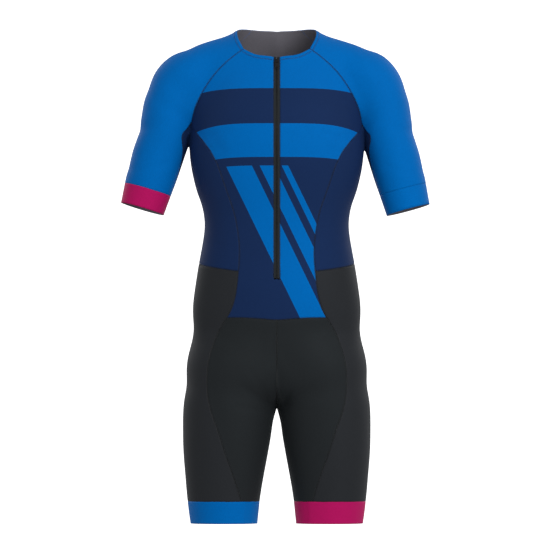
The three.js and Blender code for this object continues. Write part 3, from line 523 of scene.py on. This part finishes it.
def boundary_loops(mesh):
    """The edge lines of a skin, each a closed list of vertex numbers."""
    bm = bmesh.new()
    bm.from_mesh(mesh)
    onward = {}
    for edge in bm.edges:
        if edge.is_boundary:
            start = edge.link_loops[0].vert
            onward[start.index] = edge.other_vert(start).index
    bm.free()
    loops = []
    while onward:
        first = next(iter(onward))
        loop = [first]
        following = onward.pop(first)
        while following != first:
            loop.append(following)
            following = onward.pop(following)
        loops.append(loop)
    return loops


def line_value(line, x):
    """The level of a line of colour at a distance from the centre plane."""
    level, drop = line
    return level - drop * (abs(x) / LINE_REACH) ** LINE_POWER


def above(line):
    """A function that is zero on a line of colour."""
    return lambda p: p.z - line_value(line, p.x)


def across_stripes(p):
    """How far a point lies across the slant of the stripes, as seen from the front."""
    angle = math.radians(STRIPE_DEGREES)
    offset = p - STRIPE_TOP
    return offset.x * math.sin(angle) + offset.z * math.cos(angle)


def beside_stripe(edge):
    """A function that is zero on the edge of a stripe."""
    return lambda p: across_stripes(p) - edge


def above_stripes(p):
    """How far a place lies above the level where the stripes start."""
    return p.z - (line_value(LOWER_LINE, p.x) - STRIPE_GAP)


def near_stripes(p):
    return above_stripes(p) < STRIPE_CUT_ABOVE


def body_colour(p):
    """Which colour the body's panels have at a place."""
    if p.z > line_value(YOKE_LINE, p.x):
        return "blue"
    if p.z > line_value(BAND_LINE, p.x):
        return "navy"
    if p.z > line_value(LOWER_LINE, p.x):
        return "blue"
    if p.y < 0 and above_stripes(p) < 0:
        if any(low < across_stripes(p) < high for low, high in STRIPES):
            return "blue"
    return "navy"


def cut_line(bm, value, applies=lambda p: True):
    """Cuts new edges into a skin where a function of place is zero."""
    crossing = []
    for edge in list(bm.edges):
        a, b = edge.verts
        if not (applies(a.co) and applies(b.co)):
            continue
        at_a, at_b = value(a.co), value(b.co)
        if at_a * at_b < 0:
            crossing.append((edge, a, at_a / (at_a - at_b)))
    fresh = []
    for edge, vertex, share in crossing:
        share = min(max(share, CUT_MARGIN), 1 - CUT_MARGIN)
        _, made = bmesh.utils.edge_split(edge, vertex, share)
        fresh.append(made)
    bmesh.ops.connect_verts(bm, verts=fresh)


def colour_body(obj, front):
    """Cuts the body's blocks of colour into a panel and gives each face its material."""
    bm = bmesh.new()
    bm.from_mesh(obj.data)
    for line in (YOKE_LINE, BAND_LINE, LOWER_LINE):
        cut_line(bm, above(line))
    if front:
        cut_line(bm, above_stripes)
        for stripe in STRIPES:
            for edge in stripe:
                cut_line(bm, beside_stripe(edge), near_stripes)
    for face in bm.faces:
        face.material_index = BODY_COLOURS.index(body_colour(face.calc_center_median()))
    bm.to_mesh(obj.data)
    bm.free()


def tree_of(points):
    tree = KDTree(len(points))
    for i, point in enumerate(points):
        tree.insert(point, i)
    tree.balance()
    return tree


def dense(points, step=0.5 * MM):
    """A closed line of points, filled in to small steps."""
    filled = []
    for a, b in zip(points, points[1:] + points[:1]):
        count = max(1, int((b - a).length / step))
        filled.extend(a.lerp(b, i / count) for i in range(count))
    return filled


class Panel:
    """One panel of cloth: its skin, its closed edge lines, and where they are sewn."""

    def __init__(self, node, colours, zip_edge=None):
        self.node = node
        self.kind = node.removesuffix("_right").removesuffix("_left")
        if zip_edge:
            self.obj = tape_beside(zip_edge, f"cloth_{node}")
        else:
            self.obj = refine(outer_skin(node), f"cloth_{node}")
        self.colours = colours
        self.obj.data.materials.clear()
        for name in (*colours, *["inside"] * len(colours)):
            self.obj.data.materials.append(materials[name])
        if self.kind in ("front_body", "back_body"):
            colour_body(self.obj, self.kind == "front_body")
        self.loops = boundary_loops(self.obj.data)
        self.rim = [p for loop in self.loops for p in dense(self.places(loop))]
        self.normals = {
            i: self.obj.data.vertices[i].normal.copy() for loop in self.loops for i in loop
        }
        self.sewn = {}
        self.seam_normal = {}
        self.partner = {}
        self.beside = set()

    def places(self, loop):
        return [self.obj.data.vertices[i].co.copy() for i in loop]

    def find_seams(self, panels):
        """Marks the places on the edge that another panel is sewn to.

        A seam's direction out of the cloth is the mean of both panels' own, so that they stay
        together when it is shaped.
        """
        rims = [
            (other, i)
            for other in panels
            if other is not self
            for loop in other.loops
            for i in loop
        ]
        corners = tree_of([other.obj.data.vertices[i].co for other, i in rims])
        tree = tree_of([p for other in panels if other is not self for p in other.rim])
        for loop in self.loops:
            for i in loop:
                place = self.obj.data.vertices[i].co
                self.sewn[i] = tree.find(place)[2] < SEAM_REACH
                if self.sewn[i]:
                    other, at = rims[corners.find(place)[1]]
                    self.beside.add(other.node)
                    self.partner[i] = other.kind
                    self.seam_normal[i] = (self.normals[i] + other.normals[at]).normalized()

    def surface(self):
        """The skin as it is now, for finding the nearest place on it."""
        mesh = self.obj.data
        corners = [v.co for v in mesh.vertices]
        return BVHTree.FromPolygons(corners, [f.vertices for f in mesh.polygons])

    def runs(self, keep):
        """The stretches of the edge that pass a test, each a list of places."""
        found = []
        for loop in self.loops:
            flags = [keep(i) for i in loop]
            if all(flags):
                found.append(self.places(loop + loop[:1]))
                continue
            first = flags.index(False)
            run = []
            for step in range(len(loop) + 1):
                at = (first + step) % len(loop)
                if flags[at]:
                    run.append(loop[at])
                elif run:
                    found.append(self.places(run))
                    run = []
        return [run for run in found if len(run) > 1]

    def zip_edge(self, mirror):
        """The places along one side of the zip, from the neck down."""
        beside = [p for p in self.rim if 0 < p.x * mirror < ZIP_EDGE_REACH]
        return sorted((p for p in beside if p.z > ZIP_END_Z), key=lambda p: -p.z)

    def seam_share(self, i):
        """How deep the seam is at a place on the edge, as a share of the usual depth."""
        return min(FLAT_SEAMS.get(self.kind, 1), FLAT_SEAMS.get(self.partner[i], 1))

    def stitched(self, i):
        return self.sewn[i] and self.seam_share(i) == 1

    def at_neck(self, i):
        return not self.sewn[i] and self.obj.data.vertices[i].co.z > NECK_EDGE_FROM_Z


def tape_beside(edge, name):
    """One woven tape of the zip, from under the front's edge to the chain."""
    rows = edge[:: max(1, len(edge) // TAPE_ROWS)]
    mirror = math.copysign(1, rows[0].x)
    points, faces = [], []
    for row in rows:
        share = min(max((row.z - NOTCH_END_Z) / NOTCH_SLOPE, 0), 1)
        inner = TAPE_INNER + share * (NOTCH_HALF - TAPE_INNER)
        for i in range(TAPE_COLUMNS + 1):
            x = TAPE_OUTER + (inner - TAPE_OUTER) * i / TAPE_COLUMNS
            points.append((mirror * x, row.y + TAPE_SUNK, row.z))
    width = TAPE_COLUMNS + 1
    for r in range(len(rows) - 1):
        for i in range(TAPE_COLUMNS):
            a = r * width + i
            face = (a, a + width, a + width + 1, a + 1)
            faces.append(face[::-1] if mirror > 0 else face)
    return mesh_object(name, points, faces, materials["tape"])


def shape_edges(panel):
    """Dips a panel along its seams, raises the neck's hem and lowers the cuffs' hems."""
    mesh = panel.obj.data
    seam, shares = [], []
    for loop in panel.loops:
        for i, after in zip(loop, loop[1:] + loop[:1]):
            if panel.sewn[i] and panel.sewn[after]:
                a, b = mesh.vertices[i].co, mesh.vertices[after].co
                seam += [a.copy(), a.lerp(b, 0.5)]
                shares += [panel.seam_share(i)] * 2
    neck = [p for run in panel.runs(panel.at_neck) for p in dense(run)]
    seam_tree = tree_of(seam) if seam else None
    neck_tree = tree_of(neck) if neck else None
    moves = {}
    for loop in panel.loops:
        for before, i, after in zip(loop[-1:] + loop[:-1], loop, loop[1:] + loop[:1]):
            along = mesh.vertices[after].co - mesh.vertices[before].co
            if panel.sewn[i]:
                moves[i] = along.cross(panel.seam_normal[i]).normalized() * SEAM_MEET
            elif panel.kind == "cuff":
                moves[i] = along.cross(panel.normals[i]).normalized() * CUFF_LONGER[panel.node]
    for vertex in mesh.vertices:
        lift = 0.0
        if neck_tree and neck_tree.find(vertex.co)[2] < HEM_WIDTH:
            lift += HEM_RAISE
        if seam_tree:
            _, nearest, distance = seam_tree.find(vertex.co)
            lift -= shares[nearest] * SEAM_DIP * max(0, 1 - distance / SEAM_DIP_WIDTH) ** 2
        if lift:
            out = panel.seam_normal.get(vertex.index, vertex.normal)
            moves[vertex.index] = moves.get(vertex.index, Vector()) + out * lift
    for i, move in moves.items():
        mesh.vertices[i].co += move
    mesh.update()


def seen_in(view, points, normals, mirror):
    """Points as one view of a crease shows them, and how much each faces that view.

    The points come mirrored to the side that the table of creases is written for.
    """
    sideways, backwards = normals[:, 0] * mirror, normals[:, 1]
    if view == "arm":
        on_arm = points[:, 0] * mirror > ARM_FROM_X
        return points[:, [1, 2]], np.clip(sideways, 0, 1) * on_arm
    facing = {
        "front": np.clip(-backwards, 0, 1),
        "back": np.clip(backwards, 0, 1),
        "rim": 1 - np.abs(backwards),
    }
    return points[:, [0, 2]] * (mirror, 1), facing[view]


def crease(mesh):
    """Presses the soft creases into a skin, each with a low swell on both sides."""
    points, normals = points_of(mesh), points_of(mesh, "normal")
    lift = np.zeros(len(points))
    for view, start_across, start_z, end_across, end_z, width, depth in FOLDS:
        for mirror, shift, share in ((-1, 0, 1), (1, LEFT_SHIFT, LEFT_SHARE)):
            seen, facing = seen_in(view, points, normals, mirror)
            start = np.array((start_across, start_z + shift)) * MM
            end = np.array((end_across, end_z + shift)) * MM
            along = end - start
            progress = np.clip((seen - start) @ along / (along @ along), 0, 1)
            off = np.linalg.norm(seen - start - progress[:, None] * along, axis=1)
            spent = (off / (width * MM)) ** 2
            profile = (1 - FOLD_SWELL * spent) * np.exp(-spent)
            taper = 1 - FOLD_TAPER * progress
            lift += share * depth * MM * taper * facing * profile
    set_points(mesh, points + normals * lift[:, None])


def row_of_stitches(surface, run, inset):
    """Places for stitches at a distance inside a stretch of edge."""
    places = []
    travelled = STITCH_PITCH / 2
    for a, b in zip(run, run[1:]):
        step = b - a
        length = step.length
        while travelled < length:
            middle = a + step * (travelled / length)
            normal = surface.find_nearest(middle)[1]
            inwards = normal.cross(step).normalized()
            place, normal, _, _ = surface.find_nearest(middle + inwards * inset)
            places.append((place, normal, step.normalized()))
            travelled += STITCH_PITCH
        travelled -= length
    return places


def stitch_object(name, places, material):
    """Rows of short raised threads, each pointed and sunk into the cloth at its two ends.

    A stitch has ten points: one end, two rings of four, and the other end.
    """
    points, faces = [], []
    for place, normal, along in places:
        across = normal.cross(along).normalized()
        along = across.cross(normal)
        first, last = len(points), len(points) + 9
        points.append(place - along * STITCH_LENGTH / 2 - normal * STITCH_HEIGHT / 2)
        for share in (-STITCH_WIDEST, STITCH_WIDEST):
            middle = place + along * (share * STITCH_LENGTH)
            points += [
                middle - across * STITCH_WIDTH / 2,
                middle + normal * STITCH_HEIGHT,
                middle + across * STITCH_WIDTH / 2,
                middle - normal * STITCH_HEIGHT / 2,
            ]
        points.append(place + along * STITCH_LENGTH / 2 - normal * STITCH_HEIGHT / 2)
        for i in range(4):
            here, following = first + 1 + i, first + 1 + (i + 1) % 4
            faces.append((first, here, following))
            faces.append((here, here + 4, following + 4, following))
            faces.append((last, following + 4, here + 4))
    return mesh_object(name, points, faces, material)


def mesh_object(name, points, faces, material, smooth=True):
    """A new object from points and faces, in one material."""
    mesh = bpy.data.meshes.new(name)
    mesh.from_pydata(points, [], faces)
    mesh.materials.append(material)
    mesh.polygons.foreach_set("use_smooth", [smooth] * len(faces))
    mesh.update()
    obj = bpy.data.objects.new(name, mesh)
    bpy.context.scene.collection.objects.link(obj)
    return obj


def thicken(obj, colours):
    """Gives a skin the thickness of the cloth inwards, with the knit's reverse inside."""
    mesh = obj.data
    wall = obj.modifiers.new("cloth", "SOLIDIFY")
    wall.thickness = CLOTH
    wall.offset = -1
    wall.material_offset = len(colours)
    mesh.polygons.foreach_set("use_smooth", [True] * len(mesh.polygons))


def chamfered(points, faces, centre, axes, half, top):
    """Adds a low block with sloping shoulders. Axes and half sizes are across, along and out."""
    first = len(points)
    across, along, out = axes
    for level, share in ((-1, 1), (SLOPE_FROM, 1), (1, top)):
        for sx, sz in ((-1, -1), (1, -1), (1, 1), (-1, 1)):
            points.append(
                centre
                + across * (sx * half[0] * share)
                + along * (sz * half[1] * share)
                + out * (level * half[2])
            )
    for ring in (0, 4):
        for i in range(4):
            a, b = first + ring + i, first + ring + (i + 1) % 4
            faces.append((a, b, b + 4, a + 4))
    faces.append(tuple(first + 8 + i for i in range(4)))
    faces.append(tuple(first + 3 - i for i in range(4)))


def front_of(surfaces, x, z):
    """The foremost place of some surfaces as seen from the front, or None."""
    hits = [s.ray_cast(Vector((x, -1, z)), Vector((0, 1, 0)))[0] for s in surfaces]
    return min((h for h in hits if h), key=lambda h: h.y, default=None)


def zip_teeth(tapes):
    """The two interlocking rows of teeth along the meeting edges of the tapes."""
    points, faces = [], []
    across = Vector((1, 0, 0))
    for i in range(int((CHAIN_TOP_Z - CHAIN_END_Z) / (TOOTH_PITCH / 2))):
        x = -TOOTH_OFFSET if i % 2 else TOOTH_OFFSET
        z = CHAIN_TOP_Z - i * TOOTH_PITCH / 2
        here, below = front_of(tapes, x, z), front_of(tapes, x, z - TOOTH_PITCH)
        if not here or not below:
            continue
        here.x = below.x = x
        along = (here - below).normalized()
        out = along.cross(across).normalized()
        if out.y > 0:
            out = -out
        chamfered(points, faces, here, (across, along, out), TOOTH_HALF, TOOTH_TOP)
    return mesh_object("zip_teeth", points, faces, materials["chain"], smooth=False)


def zip_stop(tapes):
    """The two bars of metal that close the chain at its lower end."""
    points, faces = [], []
    width, length, height = STOP_HALF
    axes = (Vector((1, 0, 0)), Vector((0, 0, 1)), Vector((0, -1, 0)))
    y = front_of(tapes, TOOTH_OFFSET, CHAIN_END_Z).y
    for bar in (-STOP_BAR_AT, STOP_BAR_AT):
        centre = Vector((0, y, CHAIN_END_Z - length + bar * length))
        half = (width, length * STOP_BAR_HALF, height)
        chamfered(points, faces, centre, axes, half, STOP_TOP)
    return mesh_object("zip_stop", points, faces, materials["metal"], smooth=False)


# Every panel's materials. The front body comes first, because the tapes follow its edges.
PANELS = {"front_body": BODY_COLOURS, "back_body": BODY_COLOURS}
for side, cuff, band in (("right", "band_magenta", "band_blue"), ("left", "blue", "band_magenta")):
    PANELS[f"sleeve_{side}"] = ("blue",)
    PANELS[f"side_underarm_{side}"] = ("navy",)
    PANELS[f"cuff_{side}"] = (cuff,)
    PANELS[f"outer_leg_{side}"] = ("charcoal",)
    PANELS[f"front_leg_{side}"] = ("black",)
    PANELS[f"back_leg_{side}"] = ("black",)
    PANELS[f"leg_band_{side}"] = (band,)
    PANELS[f"zip_tape_{side}"] = ("tape",)

# The thread that goes with each material of the cloth.
THREAD_OF = {
    "blue": "thread_navy",
    "navy": "thread_navy",
    "black": "thread_black",
    "charcoal": "thread_black",
}


def add_stitches(prefix, panel, runs, insets, thread):
    """Rows of stitches beside some stretches of a panel's edge, as a piece of their own."""
    surface = panel.surface()
    places = []
    for run in runs:
        for inset in insets:
            places += row_of_stitches(surface, run, inset)
    threads = stitch_object(f"{prefix}_{panel.node}", places, materials[thread])
    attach(threads, "suit")
    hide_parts(panel.node)
    return threads


def stitch(panel):
    """The stitches along a panel's seams and along its part of the neck's hem."""
    pieces = []
    seams, neck = panel.runs(panel.stitched), panel.runs(panel.at_neck)
    if seams:
        thread = THREAD_OF[panel.colours[-1]]
        pieces.append(add_stitches("stitches", panel, seams, (SEAM_ROW,), thread))
    if neck:
        pieces.append(add_stitches("topstitch", panel, neck, NECK_ROWS, "thread_blue"))
    return pieces


panels = []
for node, colours in PANELS.items():
    edge = None
    if node.startswith("zip_tape"):
        edge = panels[0].zip_edge(-1 if node.endswith("right") else 1)
    panels.append(Panel(node, colours, edge))
for panel in panels:
    panel.find_seams(panels)
for panel in panels:
    if panel.kind != "zip_tape":
        shape_edges(panel)
    crease(panel.obj.data)

for panel in panels:
    pieces = stitch(panel) if panel.kind != "zip_tape" else []
    thicken(panel.obj, panel.colours)
    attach(panel.obj, "suit")
    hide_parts(panel.node)

tapes = [panel.surface() for panel in panels if panel.kind == "zip_tape"]
for piece in (zip_teeth(tapes), zip_stop(tapes)):
    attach(piece, "suit")

for node in ("zip_slider", "pull_tab"):
    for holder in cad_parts[node].material_slots:
        holder.link = "OBJECT"
        holder.material = materials["metal"]


def studio():
    """A pale floor that curves up far away on all sides, so that no edge of it shows."""
    profile = [(FLOOR_RADIUS, FLOOR_Z)]
    for i in range(1, FLOOR_BENDS + 1):
        angle = math.radians(90 * i / FLOOR_BENDS)
        out, up = math.sin(angle), 1 - math.cos(angle)
        profile.append((FLOOR_RADIUS + FLOOR_CURVE * out, FLOOR_Z + FLOOR_CURVE * up))
    profile.append((FLOOR_RADIUS + FLOOR_CURVE, FLOOR_RISE))
    spokes = FLOOR_SPOKES
    points = [Vector((0, 0, FLOOR_Z))]
    faces = []
    for radius, z in profile:
        for i in range(spokes):
            angle = math.tau * i / spokes
            points.append(Vector((radius * math.cos(angle), radius * math.sin(angle), z)))
    for i in range(spokes):
        faces.append((0, 1 + i, 1 + (i + 1) % spokes))
    for ring in range(len(profile) - 1):
        for i in range(spokes):
            a, b = 1 + ring * spokes + i, 1 + ring * spokes + (i + 1) % spokes
            faces.append((a, a + spokes, b + spokes, b))
    material, shader = new_material("pale_floor")
    set_inputs(shader, {"Base Color": FLOOR_COLOUR, "Roughness": 0.9})
    set_inputs(shader, {"Emission Color": WHITE, "Emission Strength": FLOOR_GLOW})
    floor = mesh_object("floor", points, faces, material)
    floor.visible_diffuse = False
    floor.visible_glossy = False


def soft_light(name, place, size, power):
    """A flat lamp that faces the suit."""
    light = bpy.data.lights.new(name, "AREA")
    light.shape = "RECTANGLE"
    light.size, light.size_y = size
    light.energy = power
    obj = bpy.data.objects.new(name, light)
    obj.location = place
    obj.rotation_mode = "QUATERNION"
    obj.rotation_quaternion = (Vector(LOOK_AT) - Vector(place)).to_track_quat("-Z", "Y")
    bpy.context.scene.collection.objects.link(obj)


studio()
for name, place, size, power in LIGHTS:
    soft_light(name, place, size, power)

scene = bpy.context.scene
world = bpy.data.worlds.new("studio")
world.use_nodes = True
set_inputs(world.node_tree.nodes["Background"], {"Color": WHITE, "Strength": WORLD_LIGHT})
scene.world = world
scene.view_settings.view_transform = "Standard"

camera = bpy.data.objects.new("camera", bpy.data.cameras.new("camera"))
camera.data.sensor_width = CAMERA_SENSOR
camera.data.lens = CAMERA_LENS
camera.data.clip_end = CAMERA_REACH
camera.location = CAMERA_AT
camera.rotation_euler = (math.pi / 2, 0, 0)
scene.collection.objects.link(camera)
scene.camera = camera
